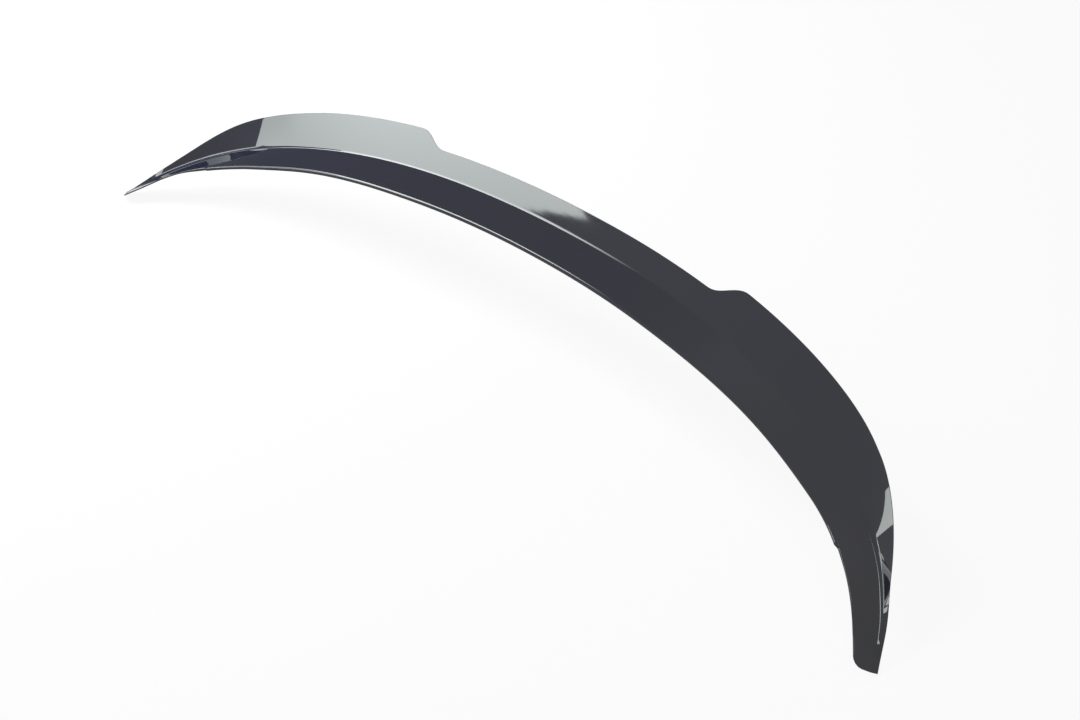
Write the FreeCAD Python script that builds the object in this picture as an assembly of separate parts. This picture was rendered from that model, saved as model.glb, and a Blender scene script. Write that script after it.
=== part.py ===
"""Boot-lid spoiler extension: one formed and trimmed plastic sheet.

A front flange lies on the lid, a valley crease runs across behind it and an
upswept wing follows.  The wing is trimmed low in the middle, between two S-shaped
notches.  Both ends turn forward round the corners of the lid, twist with them
and fade out into narrow tips.

X runs across the lid, +Y points to the rear and +Z up.  The origin is the middle
of the underside of the flange, where the sheet is stuck down.
"""
import FreeCAD, Part
import math
import os

# Sheet
wall = 4.0                     # thickness
tip_wall = 1.8                 # the same at the tips; rounds and breaks thin with it
thinning_length = 60.0         # the sheet thins from the step in the front edge on
front_round = 3.0              # top of the front edge, as far as the edge has room
edge_break = 0.6               # small flat on the other trimmed edges
crease_radius = 8.0            # inside of the bend between flange and wing
tip_crease_radius = 4.0        # the same at the tips, where the wing is narrow

# Crease, in plan and in height; lengths are measured along it
bow_length = 475.6             # from the middle of the part to where a corner begins
bow_radius = 1310.0            # long bow between the corners
end_length = 194.4             # from there round the corner to the tip
corner_radius = 210.1
tip_heading = 64.3             # direction of the tip, in degrees from X
crown_drop = 45.1              # height lost between the middle and the corner
crown_power = 3.27             # how late the crown falls away
end_fall = 19.3                # slope of the crease at the tip, in degrees
tip_skew = 14.6                # the tip is cut askew, longer at the front, in degrees
skew_length = 25.0

# Flange, in front of the crease
flange_middle = 49.9           # width at the middle
flange_side = 41.2             # width at the corners
flange_tip = 18.6              # width at the tips
even_flange = 147.3            # length at the middle before the flange narrows
edge_step = 2.5                # the front edge steps back on the end
step_after_corner = 65.4       # where that step begins
step_length = 10.0
flange_slope = 13.5            # rise towards the crease, in degrees
tip_slope = -26.9              # the same at the tips, which lean outwards
twist_before_corner = 85.0     # where the flange begins to twist
twist_length = 292.6
tip_round = 8.0                # front corner of the tip, in plan

# Wing, behind the crease
wing_middle = 32.4             # width between the two notches
wing_side = 53.9               # width outside them
wing_tip = 6.6                 # width left at the tip
notch_start = 202.7            # inner corner of a notch
notch_length = 50.2
wing_angle = 34.9              # rise of the wing, in degrees
corner_angle = 53.8            # steepest rise, on the corner
tip_fold = 10.0                # angle left between flange and wing at the tip
steepening_before_corner = 79.5
steepening_length = 171.2
fading_length = 87.7           # the steep wing leans over towards the tip
fade_power = 10.2              # how late the wing tapers
fade_softness = 6.5            # how softly it runs out

# Spacing of the sections along the crease
plain_spacing = 40.0
end_spacing = 18.0
notch_spacing = 8.0
step_spacing = 2.5
tip_spacing = 2.0

# Worked out from the sizes above
crease_length = bow_length + end_length
step_start = bow_length + step_after_corner
step_end = step_start + step_length
tip_round_start = crease_length - tip_round


def ease(place, start, length):
    """Smooth step from 0 at start to 1 a length further on."""
    t = min(max((place - start) / length, 0.0), 1.0)
    return t ** 3 * (10.0 - 15.0 * t + 6.0 * t * t)


def blend(before, after, amount):
    return before + (after - before) * amount


def crease_point(s):
    """Point of the crease and its heading in plan, s along it from the middle."""
    bow = min(s, bow_length)
    beyond = s - bow
    start_turn = bow_length / bow_radius
    heading = bow / bow_radius
    x = bow_radius * math.sin(heading)
    y = -bow_radius * (1.0 - math.cos(heading))
    if beyond > 0.0:
        heading = min(start_turn + beyond / corner_radius, math.radians(tip_heading))
        straight = beyond - corner_radius * (heading - start_turn)
        x += corner_radius * (math.sin(heading) - math.sin(start_turn)) + straight * math.cos(heading)
        y -= corner_radius * (math.cos(start_turn) - math.cos(heading)) + straight * math.sin(heading)
    fall = crown_drop * (bow / bow_length) ** crown_power
    corner_fall = crown_power * crown_drop / bow_length
    mean_fall = blend(corner_fall, math.tan(math.radians(end_fall)), 0.5 * beyond / end_length)
    return FreeCAD.Vector(x, y, -fall - beyond * mean_fall), heading


def thickness(s):
    return blend(wall, tip_wall, ease(s, step_start, thinning_length))


def flange_width(s):
    width = blend(flange_middle, flange_side, ease(s, even_flange, bow_length - even_flange))
    width -= edge_step * ease(s, step_start, step_length)
    run_out = max(s - step_end, 0.0) / (crease_length - step_end)
    return blend(width, flange_tip, run_out ** 2)


def flange_angle(s):
    twist = ease(s, bow_length - twist_before_corner, twist_length)
    return math.radians(blend(flange_slope, tip_slope, twist))


def wing_width(s):
    width = blend(wing_middle, wing_side, ease(s, notch_start, notch_length))
    fade = (1.0 - (s / crease_length) ** fade_power) ** fade_softness
    return blend(wing_tip, width, fade)


def wing_rise(s):
    steepening = ease(s, bow_length - steepening_before_corner, steepening_length)
    angle = blend(wing_angle, corner_angle, steepening)
    fading = ease(s, crease_length - fading_length, fading_length)
    return math.radians(blend(angle, tip_slope + tip_fold, fading))


def bend_radius(s):
    return blend(crease_radius, tip_crease_radius, ease(s, bow_length, end_length))


def direction(angle):
    return FreeCAD.Vector(math.cos(angle), math.sin(angle), 0.0)


def below(along):
    """Normal towards the underside of a face that runs rearwards."""
    return FreeCAD.Vector(along.y, -along.x, 0.0)


def section_corners(s, trim):
    """Corners of the sheet across the crease: x to the rear, y up, crease at 0, 0.

    They run along the top from front to rear and back along the underside.  Both
    edges are cut straight up and down, and the trim comes off the front one.
    """
    flange = direction(flange_angle(s))
    wing = direction(wing_rise(s))
    sheet = thickness(s)
    front = flange * (trim - flange_width(s))
    crease = FreeCAD.Vector(0.0, 0.0, 0.0)
    rear = wing * wing_width(s)
    both = below(flange) + below(wing)
    crease_under = both * (2.0 * sheet / both.dot(both))
    rear_under = rear - FreeCAD.Vector(0.0, sheet / wing.x, 0.0)
    front_under = front - FreeCAD.Vector(0.0, sheet / flange.x, 0.0)
    return [front, crease, rear, rear_under, crease_under, front_under]


def section_poles(place):
    """Outline of the sheet at one place: for every corner a list of (pole, weight).

    A rounded corner has the three poles of a circular arc: where it starts, the
    corner itself and where it ends.  A corner with no radius is broken by a small
    flat, which has two.  Places below zero are on the left half, and the last
    ones run round the front corner of the tip.
    """
    s = abs(place)
    trim = 0.0
    if s > tip_round_start:
        turn = (s - tip_round_start) / tip_round
        s = tip_round_start + tip_round * math.sin(turn)
        trim = tip_round * (1.0 - math.cos(turn))
    corners = section_corners(s, trim)
    thinning = thickness(s) / wall
    radii = [front_round * thinning, bend_radius(s), None, None, bend_radius(s) + thickness(s), None]
    origin, heading = crease_point(s)
    skew = math.tan(math.radians(tip_skew)) * ease(s, crease_length - skew_length, skew_length)
    side = math.copysign(1.0, place)

    def in_part(point):
        x = origin.x + point.x * (math.sin(heading) - skew * math.cos(heading))
        y = origin.y + point.x * (math.cos(heading) + skew * math.sin(heading))
        return FreeCAD.Vector(side * x, y, origin.z + point.y)

    section = []
    for index, corner in enumerate(corners):
        to_last = (corners[index - 1] - corner).normalize()
        to_next = (corners[(index + 1) % len(corners)] - corner).normalize()
        reach = edge_break * thinning
        middle = []
        if radii[index]:
            half = 0.5 * to_last.getAngle(to_next)
            room = (corners[index - 1] - corner).Length - 2.0 * reach
            reach = min(radii[index] / math.tan(half), room)
            middle = [(in_part(corner), math.sin(half))]
        start = (in_part(corner + to_last * reach), 1.0)
        end = (in_part(corner + to_next * reach), 1.0)
        section.append([start] + middle + [end])
    return section


def section_places():
    """Places of the sections from the left tip to the right one."""
    tip_end = tip_round_start + tip_round * 0.5 * math.pi
    spans = [
        (0.0, notch_start, plain_spacing),
        (notch_start, notch_start + notch_length, notch_spacing),
        (notch_start + notch_length, bow_length, plain_spacing),
        (bow_length, step_start, end_spacing),
        (step_start, step_end, step_spacing),
        (step_end, tip_round_start, end_spacing),
        (tip_round_start, tip_end, tip_spacing),
    ]
    right = []
    for start, end, spacing in spans:
        count = math.ceil((end - start) / spacing)
        right += [start + (end - start) * k / count for k in range(1, count + 1)]
    return [-place for place in reversed(right)] + [0.0] + right


def through(points, places):
    """Smooth curve through one point of every section."""
    curve = Part.BSplineCurve()
    curve.interpolate(Points=points, Parameters=places)
    return curve


def skin(rows, places):
    """Face through rows of poles: two rows for a flat strip, three for a round one."""
    poles = []
    weights = []
    for row in rows:
        weighted = through([pole * weight for pole, weight in row], places)
        weight_points = [FreeCAD.Vector(pair[1], place, 0.0) for pair, place in zip(row, places)]
        row_weights = [point.x for point in through(weight_points, places).getPoles()]
        poles.append([p * (1.0 / w) for p, w in zip(weighted.getPoles(), row_weights)])
        weights.append(row_weights)
    ends = [len(rows), len(rows)]
    surface = Part.BSplineSurface()
    surface.buildFromPolesMultsKnots(poles, ends, weighted.getMultiplicities(),
                                     [0.0, 1.0], weighted.getKnots(), False, False,
                                     len(rows) - 1, weighted.Degree, weights)
    return surface.toShape()


def tip_face(section):
    """Flat face that closes the sheet at a tip."""
    edges = []
    for index, corner in enumerate(section):
        poles, weights = zip(*corner)
        last_end = section[index - 1][-1][0]
        edges.append(Part.LineSegment(last_end, poles[0]).toShape())
        ends = [len(poles), len(poles)]
        curve = Part.BSplineCurve()
        curve.buildFromPolesMultsKnots(list(poles), ends, [0.0, 1.0], False, len(poles) - 1, list(weights))
        edges.append(curve.toShape())
    return Part.Face(Part.Wire(edges))


def seat_point():
    """Middle of the underside of the flange, at the middle of the part."""
    corners = section_corners(0.0, 0.0)
    middle = (corners[4] + corners[5]) * 0.5
    return FreeCAD.Vector(0.0, middle.x, middle.y)


def spoiler_extension():
    places = section_places()
    sections = [section_poles(place) for place in places]
    faces = [tip_face(sections[0]), tip_face(sections[-1])]
    for index in range(len(sections[0])):
        last_end = [section[index - 1][-1] for section in sections]
        rows = list(zip(*[section[index] for section in sections]))
        faces.append(skin([last_end, rows[0]], places))
        faces.append(skin(rows, places))
    shell = Part.makeShell(faces)
    shell.sewShape()
    solid = Part.makeSolid(shell)
    if solid.Volume < 0.0:
        solid.reverse()
    solid.translate(seat_point() * -1.0)
    return solid


os.makedirs("parts", exist_ok=True)
shape = spoiler_extension()
size = shape.BoundBox
print("solids", len(shape.Solids), "valid", shape.isValid(), "volume", round(shape.Volume))
print("size", round(size.XLength, 1), round(size.YLength, 1), round(size.ZLength, 1))
print("crease above the seat", seat_point() * -1.0)
shape.exportStep("parts/spoiler_extension.step")
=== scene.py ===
"""Looks of a boot-lid spoiler extension: its gloss-black formed sheet and a plain pale studio.

Everything is in metres in the part's own frame: X across the lid, +Y to the rear, +Z up, with the
origin in the middle of the underside of the flange.
"""
import math

import bmesh
import bpy
from bpy.props import FloatProperty, FloatVectorProperty, IntProperty, PointerProperty
from mathutils import Matrix, Vector


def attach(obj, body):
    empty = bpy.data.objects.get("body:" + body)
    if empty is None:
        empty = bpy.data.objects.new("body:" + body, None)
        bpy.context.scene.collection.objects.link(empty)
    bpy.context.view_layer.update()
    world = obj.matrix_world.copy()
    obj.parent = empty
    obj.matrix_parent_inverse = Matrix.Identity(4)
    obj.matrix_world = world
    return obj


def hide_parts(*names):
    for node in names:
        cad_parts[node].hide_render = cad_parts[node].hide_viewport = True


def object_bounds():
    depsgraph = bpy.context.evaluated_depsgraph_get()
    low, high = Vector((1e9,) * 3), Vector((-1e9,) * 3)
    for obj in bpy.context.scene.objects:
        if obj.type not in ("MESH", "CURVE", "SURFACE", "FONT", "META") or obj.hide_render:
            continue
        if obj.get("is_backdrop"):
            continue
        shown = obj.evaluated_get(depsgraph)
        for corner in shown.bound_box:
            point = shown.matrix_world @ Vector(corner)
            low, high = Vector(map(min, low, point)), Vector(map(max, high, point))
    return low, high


bl_info = {
    "name": "Spoiler Extension",
    "version": (1, 0, 0),
    "blender": (4, 5, 0),
    "location": "3D View > Sidebar > Spoiler",
    "description": "Builds the gloss-black sheet of a boot-lid spoiler extension and its studio",
    "category": "Add Mesh",
}

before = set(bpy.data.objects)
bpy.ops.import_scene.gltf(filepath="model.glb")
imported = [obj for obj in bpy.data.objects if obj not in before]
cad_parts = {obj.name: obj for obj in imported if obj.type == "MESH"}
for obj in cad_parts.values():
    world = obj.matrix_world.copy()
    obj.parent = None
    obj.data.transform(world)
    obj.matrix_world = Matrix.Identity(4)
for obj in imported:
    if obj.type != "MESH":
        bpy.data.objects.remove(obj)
CAD_LOW, CAD_HIGH = (list(corner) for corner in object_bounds())
SHEET_NODE = "spoiler_extension"
GLOSS_ATTRIBUTE = "gloss_side"
WHITE = (1.0, 1.0, 1.0, 1.0)
BLACK = (0.0, 0.0, 0.0, 1.0)
SPAN_SLACK = 1e-6                 # keeps a whole number of rings whole
MERGE_DISTANCE = 1e-7             # closes the seam along the rings
SUPPORT_SHARE = 0.25              # most that a narrow face takes of the face beside it
HAZE_LOW, HAZE_HIGH = 0.45, 0.75  # noise below shows no haze, noise above shows all of it
PLASTIC_IOR = 1.5

# Level softbox in plan: a front part with a soft slanted edge, and an arm along its rear
BOX_RIGHT, BOX_REAR, BOX_LEFT = -0.58, 0.31, -2.60
SLANT_START = (-0.757, -0.392)
SLANT_END = (-1.045, -0.695)
BOX_CORNERS = (                   # from the rear right corner on round by the front
    (BOX_RIGHT, BOX_REAR), (BOX_RIGHT, -0.16), (SLANT_START[0], -0.22), SLANT_START,
    SLANT_END, (SLANT_END[0], -1.042), (-1.78, -1.345), (-1.76, -0.87), (-1.64, -0.645),
    (-1.51, -0.49), (-1.36, -0.43), (-1.44, -0.08), (-1.70, 0.0), (BOX_LEFT, 0.05), (BOX_LEFT, BOX_REAR))


def length(name, description, default):
    return FloatProperty(name=name, description=description, default=default, unit="LENGTH", precision=4)


def angle(name, description, degrees):
    return FloatProperty(name=name, description=description, default=math.radians(degrees), unit="ROTATION")


def number(name, description, default):
    return FloatProperty(name=name, description=description, default=default)


def colour(name, description, default):
    return FloatVectorProperty(name=name, description=description, default=default, subtype="COLOR",
                               size=3, min=0.0, max=1.0)


def place(name, description, default):
    return FloatVectorProperty(name=name, description=description, default=default, subtype="TRANSLATION",
                               size=3, unit="LENGTH")


class SheetSizes(bpy.types.PropertyGroup):
    """Sizes of the formed sheet; lengths along it start at its middle."""
    wall: length("Wall", "Thickness of the sheet", 0.0040)
    tip_wall: length("Tip wall", "Thickness at the tips; rounds and breaks thin with it", 0.0018)
    thinning_length: length("Thinning length", "Length over which the sheet thins, from the step on", 0.0600)
    front_round: length("Front round", "Radius on top of the front edge, where it has room", 0.0030)
    edge_break: length("Edge break", "Width of the break on the other trimmed edges", 0.0006)
    crease_radius: length("Crease radius", "Inside of the bend between flange and wing", 0.0080)
    tip_crease_radius: length("Tip crease radius", "Inside of the bend at the tips", 0.0040)
    bow_length: length("Bow length", "From the middle to where a corner begins", 0.4756)
    bow_radius: length("Bow radius", "Long bow between the corners, in plan", 1.3100)
    end_length: length("End length", "From there round the corner to the tip", 0.1944)
    corner_radius: length("Corner radius", "Turn of the corner, in plan", 0.2101)
    tip_heading: angle("Tip heading", "Direction of the tip, from X", 64.3)
    crown_drop: length("Crown drop", "Height lost between the middle and a corner", 0.0451)
    crown_power: number("Crown power", "How late the crown falls away", 3.27)
    end_fall: angle("End fall", "Slope of the crease at the tip", 19.3)
    tip_skew: angle("Tip skew", "Slant of the cut at the tip, longer at the front", 14.6)
    skew_length: length("Skew length", "Length over which the tip takes that slant", 0.0250)
    flange_middle: length("Flange at the middle", "Width of the flange at the middle", 0.0499)
    flange_side: length("Flange at the corners", "Width of the flange at the corners", 0.0412)
    flange_tip: length("Flange at the tips", "Width of the flange at the tips", 0.0186)
    even_flange: length("Even flange", "Length at the middle before the flange narrows", 0.1473)
    edge_step: length("Edge step", "Step back of the front edge on the end", 0.0025)
    step_after_corner: length("Step place", "Where that step begins, from the corner", 0.0654)
    step_length: length("Step length", "Length of that step", 0.0100)
    flange_slope: angle("Flange slope", "Rise of the flange towards the crease", 13.5)
    tip_slope: angle("Tip slope", "The same at the tips, which lean outwards", -26.9)
    twist_before_corner: length("Twist start", "Where the flange begins to twist, before the corner", 0.0850)
    twist_length: length("Twist length", "Length of that twist", 0.2926)
    tip_round: length("Tip round", "Front corner of the tip, in plan", 0.0080)
    wing_middle: length("Wing at the middle", "Width of the wing between the notches", 0.0324)
    wing_side: length("Wing at the sides", "Width of the wing outside the notches", 0.0539)
    wing_tip: length("Wing at the tips", "Width of the wing left at a tip", 0.0066)
    notch_start: length("Notch start", "Inner corner of a notch", 0.2027)
    notch_length: length("Notch length", "Length of a notch", 0.0502)
    wing_angle: angle("Wing angle", "Rise of the wing", 34.9)
    corner_angle: angle("Corner angle", "Steepest rise of the wing, on the corner", 53.8)
    tip_fold: angle("Tip fold", "Angle left between flange and wing at a tip", 10.0)
    steepening_before_corner: length("Steepening start", "Where the wing begins to steepen", 0.0795)
    steepening_length: length("Steepening length", "Length over which the wing steepens", 0.1712)
    fading_length: length("Fading length", "Length over which the wing leans over at a tip", 0.0877)
    fade_power: number("Fade power", "How late the wing tapers", 10.2)
    fade_softness: number("Fade softness", "How softly the wing runs out", 6.5)
    ring_spacing: length("Ring spacing", "Distance between two rings of the mesh", 0.0040)
    fine_spacing: length("Fine spacing", "The same at the step and round the tip", 0.0007)
    strip_count: IntProperty(name="Strip count", description="Faces across each flat strip", default=8)
    arc_count: IntProperty(name="Arc count", description="Faces round each rounded corner", default=10)
    edge_support: length("Edge support", "Narrow face that holds a flat strip flat", 0.0004)
    end_round: length("End round", "Rounding of the rim at the cut ends", 0.00045)
    end_count: IntProperty(name="End count", description="Rings round that rim", default=4)


class FinishLooks(bpy.types.PropertyGroup):
    """Colours and gloss of the sheet."""
    top_colour: colour("Gloss black", "Colour of the polished top", (0.0080, 0.0090, 0.0210))
    under_colour: colour("Satin black", "Colour of the unpolished underside", (0.0140, 0.0140, 0.0150))
    gloss_roughness: number("Gloss roughness", "Roughness of the polished top", 0.025)
    haze_roughness: number("Haze", "Roughness added in the faintly hazy patches of the top", 0.010)
    haze_size: length("Haze size", "Width of those patches", 0.1080)
    satin_roughness: number("Satin roughness", "Roughness of the underside and the cut edges", 0.42)
    peel_size: length("Peel size", "Width of the faint ripples in the gloss", 0.0120)
    peel_depth: length("Peel depth", "Height of those ripples", 0.0000012)
    grain_size: length("Grain size", "Width of the grain underneath", 0.0009)
    grain_roughness: number("Grain roughness", "Roughness added on the high parts of that grain", 0.10)
    grain_depth: length("Grain depth", "Height of that grain", 0.00004)


class StudioLooks(bpy.types.PropertyGroup):
    """Floor, light and camera."""
    floor_colour: colour("Floor", "Colour of the floor", (0.85, 0.85, 0.85))
    floor_white: number("Floor white", "Share of plain white that the floor shows", 0.92)
    floor_size: length("Floor size", "Width of the floor", 40.0)
    fill: number("Fill", "Strength of the light from all round", 0.15)
    light_colour: colour("Light colour", "Colour of the softboxes", (0.935, 1.0, 0.965))
    box_middle: place("Softbox middle", "Brightest place of the level softbox", (-1.20, 0.14, 1.10))
    box_glow: number("Softbox glow", "Brightness at that place beside white paper", 18.0)
    box_rim_glow: number("Softbox rim glow", "Brightness far from that place", 9.0)
    box_reach: length("Softbox reach", "Length over which the softbox dims", 0.95)
    box_soft: length("Soft edge", "Width of the soft slanted edge of the softbox", 0.006)
    box_fade: length("Softbox fade", "Length over which the softbox fades on the right", 0.16)
    fold_size: length("Fold size", "Width of the folds along the slanted edge", 0.018)
    fold_depth: length("Fold depth", "How far those folds move the edge", 0.016)
    side_place: place("Side light place", "Foot of the standing softbox", (-1.776, -1.280, 0.515))
    side_turn: angle("Side light turn", "Direction of its width, from X", -62.2)
    side_width: length("Side light width", "Width of the standing softbox", 0.34)
    side_height: length("Side light height", "Height of the standing softbox", 0.465)
    side_glow: number("Side light glow", "Brightness of the standing and the small softbox", 8.5)
    top_place: place("Top light place", "Small softbox over the right end", (0.625, -0.025, 1.10))
    top_size: length("Top light size", "Width of the small softbox", 0.25)
    screen_place: place("Screen place", "Foot of the dark screen, from the floor", (-1.994, 0.930, 0.0))
    screen_turn: angle("Screen turn", "Direction of its width, from X", 65.0)
    screen_width: length("Screen width", "Width of the dark screen", 3.10)
    screen_height: length("Screen height", "Height over which the screen clears", 5.10)
    screen_shade: number("Screen shade", "How dense the screen is at its foot", 0.80)
    camera_place: place("Camera", "Place of the camera", (0.98302, -1.06478, 1.01014))
    camera_azimuth: angle("Camera azimuth", "Turn of the camera about Z", 43.10)
    camera_elevation: angle("Camera elevation", "How far the camera looks down", 39.30)
    lens: FloatProperty(name="Lens", description="Focal length in millimetres", default=50.0, unit="CAMERA")


class Value:
    """Socket of a node tree that Python's operators can be used on."""

    def __init__(self, tree, socket):
        self.tree = tree
        self.socket = socket

    def node(self, kind, settings=None, sockets=None, output=0):
        """Adds a node with these settings and socket values, and gives one of its outputs."""
        node = self.tree.nodes.new(kind)
        for name, setting in (settings or {}).items():
            setattr(node, name, setting)
        for name, value in (sockets or {}).items():
            if isinstance(value, Value):
                self.tree.links.new(value.socket, node.inputs[name])
            else:
                node.inputs[name].default_value = value
        return None if output is None else Value(self.tree, node.outputs[output])

    def maths(self, operation, *values):
        return self.node("ShaderNodeMath", {"operation": operation}, dict(enumerate(values)))

    def __add__(self, other):
        return self.maths("ADD", self, other)

    def __radd__(self, other):
        return self.maths("ADD", other, self)

    def __sub__(self, other):
        return self.maths("SUBTRACT", self, other)

    def __rsub__(self, other):
        return self.maths("SUBTRACT", other, self)

    def __mul__(self, other):
        return self.maths("MULTIPLY", self, other)

    def __rmul__(self, other):
        return self.maths("MULTIPLY", other, self)

    def limited(self, low, high):
        """This value held between two limits and spread from 0 to 1 between them, softly."""
        sockets = {"Value": self, "From Min": low, "From Max": high}
        return self.node("ShaderNodeMapRange", {"interpolation_type": "SMOOTHSTEP"}, sockets)

    def mixed(self, before, after):
        """Colour between two others, by this share."""
        return self.node("ShaderNodeMix", {"data_type": "RGBA"}, {0: self, 6: before, 7: after}, output=2)

    def shader_mix(self, before, after):
        """Shader between two others, by this share."""
        return self.node("ShaderNodeMixShader", sockets={0: self, 1: before, 2: after})


def new_tree(owner):
    """Value that adds nodes to the emptied tree of a material or a world."""
    owner.use_nodes = True
    owner.node_tree.nodes.clear()
    return Value(owner.node_tree, None)


def new_material(name):
    material = bpy.data.materials.new(name)
    return material, new_tree(material)


def with_alpha(rgb):
    return (*rgb, 1.0)


def ease(s, start, span):
    """Smooth step from 0 at start to 1 a span further on."""
    t = min(max((s - start) / span, 0.0), 1.0)
    return t ** 3 * (10.0 - 15.0 * t + 6.0 * t * t)


def between(before, after, amount):
    return before + (after - before) * amount


def inset_outline(outline, inset):
    """A closed outline moved inwards, where it runs with its inside on the right."""
    moved = []
    for k, point in enumerate(outline):
        along = (outline[(k + 1) % len(outline)] - outline[k - 1]).normalized()
        moved.append(point + Vector((along.y, -along.x)) * inset)
    return moved


class SheetForm:
    """Form of the sheet, worked out from its sizes."""

    def __init__(self, sizes):
        self.sizes = sizes
        self.crease_length = sizes.bow_length + sizes.end_length
        self.step_start = sizes.bow_length + sizes.step_after_corner
        self.step_end = self.step_start + sizes.step_length
        self.tip_round_start = self.crease_length - sizes.end_round - sizes.tip_round
        self.tip_end = self.tip_round_start + sizes.tip_round * 0.5 * math.pi
        self.seat = self.seat_point()

    def crease_point(self, s):
        """Point of the crease and its heading in plan."""
        size = self.sizes
        bow = min(s, size.bow_length)
        beyond = s - bow
        start_turn = size.bow_length / size.bow_radius
        heading = bow / size.bow_radius
        x = size.bow_radius * math.sin(heading)
        y = -size.bow_radius * (1.0 - math.cos(heading))
        if beyond > 0.0:
            turn = size.corner_radius
            heading = min(start_turn + beyond / turn, size.tip_heading)
            straight = beyond - turn * (heading - start_turn)
            x += turn * (math.sin(heading) - math.sin(start_turn)) + straight * math.cos(heading)
            y -= turn * (math.cos(start_turn) - math.cos(heading)) + straight * math.sin(heading)
        fall = size.crown_drop * (bow / size.bow_length) ** size.crown_power
        corner_fall = size.crown_power * size.crown_drop / size.bow_length
        mean_fall = between(corner_fall, math.tan(size.end_fall), 0.5 * beyond / size.end_length)
        return Vector((x, y, -fall - beyond * mean_fall)), heading

    def thickness(self, s):
        size = self.sizes
        return between(size.wall, size.tip_wall, ease(s, self.step_start, size.thinning_length))

    def flange_width(self, s):
        size = self.sizes
        narrowing = ease(s, size.even_flange, size.bow_length - size.even_flange)
        width = between(size.flange_middle, size.flange_side, narrowing)
        width -= size.edge_step * ease(s, self.step_start, size.step_length)
        run_out = max(s - self.step_end, 0.0) / (self.crease_length - self.step_end)
        return between(width, size.flange_tip, run_out ** 2)

    def flange_angle(self, s):
        size = self.sizes
        twist = ease(s, size.bow_length - size.twist_before_corner, size.twist_length)
        return between(size.flange_slope, size.tip_slope, twist)

    def wing_width(self, s):
        size = self.sizes
        width = between(size.wing_middle, size.wing_side, ease(s, size.notch_start, size.notch_length))
        fade = (1.0 - (s / self.crease_length) ** size.fade_power) ** size.fade_softness
        return between(size.wing_tip, width, fade)

    def wing_rise(self, s):
        size = self.sizes
        start = size.bow_length - size.steepening_before_corner
        rise = between(size.wing_angle, size.corner_angle, ease(s, start, size.steepening_length))
        fading = ease(s, self.crease_length - size.fading_length, size.fading_length)
        return between(rise, size.tip_slope + size.tip_fold, fading)

    def bend_radius(self, s):
        size = self.sizes
        tightening = ease(s, size.bow_length, size.end_length)
        return between(size.crease_radius, size.tip_crease_radius, tightening)

    def section_corners(self, s, trim):
        """Corners across the crease: along the top from front to rear, and back underneath."""
        sheet = self.thickness(s)
        flange_angle = self.flange_angle(s)
        wing_rise = self.wing_rise(s)
        flange = Vector((math.cos(flange_angle), math.sin(flange_angle)))
        wing = Vector((math.cos(wing_rise), math.sin(wing_rise)))
        front = flange * (trim - self.flange_width(s))
        crease = Vector((0.0, 0.0))
        rear = wing * self.wing_width(s)
        below = Vector((flange.y + wing.y, -flange.x - wing.x))
        crease_under = below * (2.0 * sheet / below.length_squared)
        rear_under = rear - Vector((0.0, sheet / wing.x))
        front_under = front - Vector((0.0, sheet / flange.x))
        return [front, crease, rear, rear_under, crease_under, front_under]

    def seat_point(self):
        """Middle of the underside of the flange, at the middle of the part."""
        corners = self.section_corners(0.0, 0.0)
        middle = (corners[4] + corners[5]) * 0.5
        return Vector((0.0, middle.x, middle.y))

    def corner_arc(self, corner, last, following, radius, edge_break):
        """Points round one corner: an arc of that radius, or a small break where there is none."""
        size = self.sizes
        to_last = (last - corner).normalized()
        to_next = (following - corner).normalized()
        half = 0.5 * to_last.angle(to_next)
        room = (last - corner).length - 2.0 * edge_break
        reach = min(radius / math.tan(half), room) if radius else edge_break
        start = corner + to_last * reach
        end = corner + to_next * reach
        if not radius:
            return [start, end]
        points = []
        for k in range(size.arc_count + 1):
            t = k / size.arc_count
            shares = ((1.0 - t) ** 2, 2.0 * t * (1.0 - t) * math.sin(half), t * t)
            points.append((start * shares[0] + corner * shares[1] + end * shares[2]) / sum(shares))
        return points

    def flat_strip(self, start, end):
        """Points strictly between two ends, with a narrow face beside each."""
        size = self.sizes
        support = min(size.edge_support / (end - start).length, SUPPORT_SHARE / size.strip_count)
        shares = [support] + [k / size.strip_count for k in range(1, size.strip_count)] + [1.0 - support]
        return [start.lerp(end, share) for share in shares]

    def ring(self, where):
        """Closed outline of the sheet at one place, in the part's frame.

        Places below zero are on the left half.  The last ones run round the front corner of the
        tip, and then round the rim of its end.
        """
        size = self.sizes
        s = abs(where)
        trim = 0.0
        inset = 0.0
        if s > self.tip_round_start:
            turn = (min(s, self.tip_end) - self.tip_round_start) / size.tip_round
            roll = max(s - self.tip_end, 0.0) / size.end_round
            s = self.tip_round_start + size.tip_round * math.sin(turn) + size.end_round * math.sin(roll)
            trim = size.tip_round * (1.0 - math.cos(turn))
            inset = size.end_round * (1.0 - math.cos(roll))
        corners = self.section_corners(s, trim)
        bend = self.bend_radius(s)
        sheet = self.thickness(s)
        thinning = sheet / size.wall
        edge_break = size.edge_break * thinning
        radii = [size.front_round * thinning, bend, None, None, bend + sheet, None]
        arcs = []
        for k, corner in enumerate(corners):
            following = corners[(k + 1) % len(corners)]
            arcs.append(self.corner_arc(corner, corners[k - 1], following, radii[k], edge_break))
        outline = []
        for k, arc in enumerate(arcs):
            outline += arc
            outline += self.flat_strip(arc[-1], arcs[(k + 1) % len(arcs)][0])
        origin, heading = self.crease_point(s)
        skew_start = self.crease_length - size.skew_length
        skew = math.tan(size.tip_skew) * ease(s, skew_start, size.skew_length)
        side = math.copysign(1.0, where)
        points = []
        for across in inset_outline(outline, inset):
            x = origin.x + across.x * (math.sin(heading) - skew * math.cos(heading))
            y = origin.y + across.x * (math.cos(heading) + skew * math.sin(heading))
            points.append(Vector((side * x, y, origin.z + across.y)) - self.seat)
        return points

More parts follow.
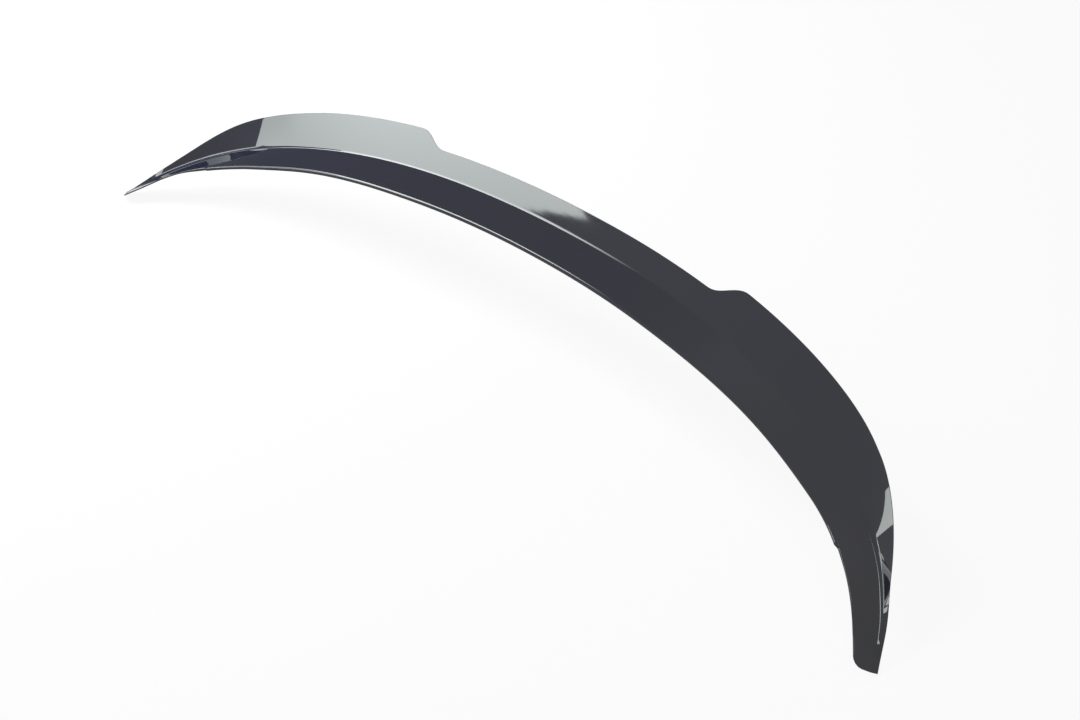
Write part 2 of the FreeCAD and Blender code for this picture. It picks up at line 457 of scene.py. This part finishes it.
    def gloss_points(self):
        """How many points of a ring, from its start, are on the polished top."""
        return 2 * (self.sizes.arc_count + 1) + 2 * (self.sizes.strip_count + 1) + 1

    def ring_places(self):
        """Places of the rings from the left tip to the right one."""
        size = self.sizes
        rim_end = self.tip_end + size.end_round * 0.5 * math.pi
        rim_spacing = (rim_end - self.tip_end) / size.end_count
        spans = [
            (0.0, self.step_start, size.ring_spacing),
            (self.step_start, self.step_end, size.fine_spacing),
            (self.step_end, self.tip_round_start, size.ring_spacing),
            (self.tip_round_start, self.tip_end, size.fine_spacing),
            (self.tip_end, rim_end, rim_spacing),
        ]
        right = []
        for start, end, spacing in spans:
            count = math.ceil((end - start) / spacing - SPAN_SLACK)
            right += [start + (end - start) * k / count for k in range(1, count + 1)]
        return [-where for where in reversed(right)] + [0.0] + right


def gloss_black(looks):
    """Polished black plastic on top, satin and grained underneath and on the cut edges."""
    material, value = new_material("gloss_black")
    coordinates = value.node("ShaderNodeTexCoord", output="Object")
    gloss = value.node("ShaderNodeAttribute", {"attribute_name": GLOSS_ATTRIBUTE}, output="Fac")
    satin = 1.0 - gloss

    def noise(size, detail):
        sockets = {"Vector": coordinates, "Scale": 1.0 / size, "Detail": detail}
        return value.node("ShaderNodeTexNoise", sockets=sockets)

    peel = noise(looks.peel_size, detail=1.0)
    grain = noise(looks.grain_size, detail=2.0)
    haze = noise(looks.haze_size, detail=4.0).limited(HAZE_LOW, HAZE_HIGH)
    polished = looks.gloss_roughness + haze * looks.haze_roughness
    unpolished = looks.satin_roughness + grain * looks.grain_roughness
    roughness = gloss * polished + satin * unpolished
    tint = satin.mixed(with_alpha(looks.top_colour), with_alpha(looks.under_colour))
    height = gloss * peel * looks.peel_depth + satin * grain * looks.grain_depth
    normal = value.node("ShaderNodeBump", sockets={"Height": height, "Strength": 1.0, "Distance": 1.0},
                        output="Normal")
    shader = value.node("ShaderNodeBsdfPrincipled", sockets={
        "Base Color": tint, "Roughness": roughness, "Normal": normal, "IOR": PLASTIC_IOR})
    value.node("ShaderNodeOutputMaterial", sockets={"Surface": shader}, output=None)
    return material


class SPOILER_OT_add_sheet(bpy.types.Operator):
    """Add the formed sheet with its flange, crease, wing and wrapped ends"""
    bl_idname = "spoiler.add_sheet"
    bl_label = "Add Sheet"
    bl_options = {"REGISTER", "UNDO"}

    def execute(self, context):
        form = SheetForm(context.scene.spoiler_sheet)
        places = form.ring_places()
        rings = [form.ring(where) for where in places]
        around = len(rings[0])
        shape = bmesh.new()
        bmesh.ops.create_grid(shape, x_segments=len(rings) - 1, y_segments=around, size=0.5)
        gloss = shape.verts.layers.float.new(GLOSS_ATTRIBUTE)
        gloss_points = form.gloss_points()
        for vertex in shape.verts:
            along = round((vertex.co.x + 0.5) * (len(rings) - 1))
            across = round((vertex.co.y + 0.5) * around) % around
            vertex.co = rings[along][across]
            vertex[gloss] = 1.0 if across < gloss_points else 0.0
        bmesh.ops.remove_doubles(shape, verts=shape.verts, dist=MERGE_DISTANCE)
        open_edges = [edge for edge in shape.edges if edge.is_boundary]
        ends = bmesh.ops.holes_fill(shape, edges=open_edges, sides=0)["faces"]
        bmesh.ops.recalc_face_normals(shape, faces=shape.faces)
        if shape.calc_volume(signed=True) < 0.0:
            bmesh.ops.reverse_faces(shape, faces=shape.faces)
        for face in shape.faces:
            face.smooth = True
        for face in ends:
            face.smooth = False
        mesh = bpy.data.meshes.new("formed_sheet")
        shape.to_mesh(mesh)
        shape.free()
        mesh.materials.append(gloss_black(context.scene.spoiler_finish))
        sheet = bpy.data.objects.new("formed_sheet", mesh)
        context.collection.objects.link(sheet)
        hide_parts(SHEET_NODE)
        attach(sheet, "root")
        return {"FINISHED"}


def seen_directly(value):
    """1 for what the camera sees straight on, in a mirror or through glass, and 0 for plain light."""
    rays = [value.node("ShaderNodeLightPath", output=name)
            for name in ("Is Camera Ray", "Is Glossy Ray", "Is Transmission Ray")]
    return value.maths("MINIMUM", rays[0] + rays[1] + rays[2], 1.0)


def object_place(value):
    """Object coordinates, whole and as x, y and z."""
    coordinates = value.node("ShaderNodeTexCoord", output="Object")
    parts = [value.node("ShaderNodeSeparateXYZ", sockets={0: coordinates}, output=axis) for axis in "XYZ"]
    return coordinates, parts


def floor_paint(looks):
    """Pale floor that shows mostly plain white, with a soft shadow left in it."""
    material, value = new_material("studio_floor")
    paint = value.node("ShaderNodeBsdfDiffuse", sockets={"Color": with_alpha(looks.floor_colour)})
    white = value.node("ShaderNodeEmission", sockets={"Color": WHITE})
    shown = (seen_directly(value) * looks.floor_white).shader_mix(paint, white)
    value.node("ShaderNodeOutputMaterial", sockets={"Surface": shown}, output=None)
    return material


def softbox_cloth(looks):
    """Glowing cloth of the level softbox: brightest at its lamp, with a soft slanted edge on the right."""
    material, value = new_material("softbox_cloth")
    coordinates, (x, y, _) = object_place(value)
    from_lamp = value.node("ShaderNodeVectorMath", {"operation": "DISTANCE"},
                           {0: coordinates, 1: looks.box_middle}, output="Value")
    dimming = from_lamp.limited(0.0, looks.box_reach) * (1.0 - looks.box_rim_glow / looks.box_glow)
    start, end = Vector(SLANT_START), Vector(SLANT_END)
    inwards = (end - start).orthogonal().normalized() * -1.0
    from_slant = (x - start.x) * inwards.x + (y - start.y) * inwards.y
    from_edge = value.maths("MAXIMUM", from_slant, end.x - x)
    folds = value.node("ShaderNodeTexNoise", sockets={"Vector": coordinates, "Scale": 1.0 / looks.fold_size})
    soft = (from_edge - folds * looks.fold_depth).limited(0.0, looks.box_soft)
    fade = (BOX_RIGHT - x).limited(0.0, looks.box_fade)
    tint = (1.0 - dimming).mixed(BLACK, with_alpha(looks.light_colour))
    glow = value.node("ShaderNodeEmission", sockets={"Color": tint, "Strength": looks.box_glow})
    clear = value.node("ShaderNodeBsdfTransparent", sockets={"Color": WHITE})
    shown = (soft * fade).shader_mix(clear, glow)
    value.node("ShaderNodeOutputMaterial", sockets={"Surface": shown}, output=None)
    return material


def plain_cloth(looks):
    """Evenly glowing cloth of the standing and the small softbox."""
    material, value = new_material("plain_cloth")
    glow = value.node("ShaderNodeEmission", sockets={
        "Color": with_alpha(looks.light_colour), "Strength": looks.side_glow})
    value.node("ShaderNodeOutputMaterial", sockets={"Surface": glow}, output=None)
    return material


def screen_cloth(looks):
    """Dark screen that clears towards its top."""
    material, value = new_material("screen_cloth")
    _, (_, _, z) = object_place(value)
    density = looks.screen_shade - (z - CAD_LOW[2]) * (looks.screen_shade / looks.screen_height)
    clear = value.node("ShaderNodeBsdfTransparent", sockets={"Color": WHITE})
    dark = value.node("ShaderNodeBsdfDiffuse", sockets={"Color": BLACK})
    shown = density.shader_mix(clear, dark)
    value.node("ShaderNodeOutputMaterial", sockets={"Surface": shown}, output=None)
    return material


def square(middle, width):
    """Corners of a level square panel."""
    x, y, z = middle
    half = 0.5 * width
    steps = ((-half, -half), (half, -half), (half, half), (-half, half))
    return [(x + across, y + along, z) for across, along in steps]


def standing(foot, turn, width, height):
    """Corners of a panel that stands upright on its foot."""
    across = Matrix.Rotation(turn, 3, "Z") @ Vector((0.5 * width, 0.0, 0.0))
    up = Vector((0.0, 0.0, height))
    foot = Vector(foot)
    return [foot - across, foot + across, foot + across + up, foot - across + up]


class SPOILER_OT_add_stage(bpy.types.Operator):
    """Add the floor, the light and the camera"""
    bl_idname = "spoiler.add_stage"
    bl_label = "Add Stage"
    bl_options = {"REGISTER", "UNDO"}

    def execute(self, context):
        looks = context.scene.spoiler_studio
        floor = square((0.0, 0.0, CAD_LOW[2]), looks.floor_size)
        self.add_panel(context, "floor", floor, floor_paint(looks))
        box = [(*corner, looks.box_middle[2]) for corner in BOX_CORNERS]
        self.add_hidden_panel(context, "softbox", box, softbox_cloth(looks))
        cloth = plain_cloth(looks)
        side = standing(looks.side_place, looks.side_turn, looks.side_width, looks.side_height)
        self.add_hidden_panel(context, "side_softbox", side, cloth)
        top = square(looks.top_place, looks.top_size)
        self.add_hidden_panel(context, "top_softbox", top, cloth)
        foot = Vector(looks.screen_place) + Vector((0.0, 0.0, CAD_LOW[2]))
        screen = standing(foot, looks.screen_turn, looks.screen_width, looks.screen_height)
        dark = self.add_hidden_panel(context, "dark_screen", screen, screen_cloth(looks))
        dark.visible_diffuse = False
        dark.visible_shadow = False
        self.add_world(context, looks)
        self.add_camera(context, looks)
        context.scene.view_settings.view_transform = "Standard"
        return {"FINISHED"}

    def add_panel(self, context, name, corners, material):
        """Flat panel of the studio."""
        shape = bmesh.new()
        shape.faces.new([shape.verts.new(corner) for corner in corners])
        mesh = bpy.data.meshes.new(name)
        shape.to_mesh(mesh)
        shape.free()
        mesh.materials.append(material)
        panel = bpy.data.objects.new(name, mesh)
        context.collection.objects.link(panel)
        panel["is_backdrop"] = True
        return panel

    def add_hidden_panel(self, context, name, corners, material):
        """Panel that the camera doesn't see, though the gloss of the part mirrors it."""
        panel = self.add_panel(context, name, corners, material)
        panel.visible_camera = False
        return panel

    def add_world(self, context, looks):
        world = bpy.data.worlds.new("studio")
        value = new_tree(world)
        strength = looks.fill + seen_directly(value) * (1.0 - looks.fill)
        background = value.node("ShaderNodeBackground", sockets={"Color": WHITE, "Strength": strength})
        value.node("ShaderNodeOutputWorld", sockets={"Surface": background}, output=None)
        context.scene.world = world

    def add_camera(self, context, looks):
        lens = bpy.data.cameras.new("camera")
        lens.lens = looks.lens
        camera = bpy.data.objects.new("camera", lens)
        camera.location = looks.camera_place
        camera.rotation_euler = (0.5 * math.pi - looks.camera_elevation, 0.0, looks.camera_azimuth)
        context.collection.objects.link(camera)
        context.scene.camera = camera


class VIEW3D_PT_spoiler(bpy.types.Panel):
    """Buttons and sizes of the spoiler extension"""
    bl_idname = "VIEW3D_PT_spoiler"
    bl_label = "Spoiler Extension"
    bl_space_type = "VIEW_3D"
    bl_region_type = "UI"
    bl_category = "Spoiler"

    def draw(self, context):
        scene = context.scene
        pieces = (
            ("spoiler.add_sheet", (scene.spoiler_sheet, scene.spoiler_finish)),
            ("spoiler.add_stage", (scene.spoiler_studio,)),
        )
        for operator, groups in pieces:
            box = self.layout.box()
            box.operator(operator)
            for group in groups:
                for name in group.__annotations__:
                    box.prop(group, name)


GROUPS = {
    "spoiler_sheet": SheetSizes,
    "spoiler_finish": FinishLooks,
    "spoiler_studio": StudioLooks,
}
CLASSES = (*GROUPS.values(), SPOILER_OT_add_sheet, SPOILER_OT_add_stage, VIEW3D_PT_spoiler)


def register():
    for cls in CLASSES:
        bpy.utils.register_class(cls)
    for name, group in GROUPS.items():
        setattr(bpy.types.Scene, name, PointerProperty(type=group))


def unregister():
    for name in GROUPS:
        delattr(bpy.types.Scene, name)
    for cls in reversed(CLASSES):
        bpy.utils.unregister_class(cls)


def main():
    register()
    bpy.ops.spoiler.add_sheet()
    bpy.ops.spoiler.add_stage()


if __name__ == "__main__":
    main()
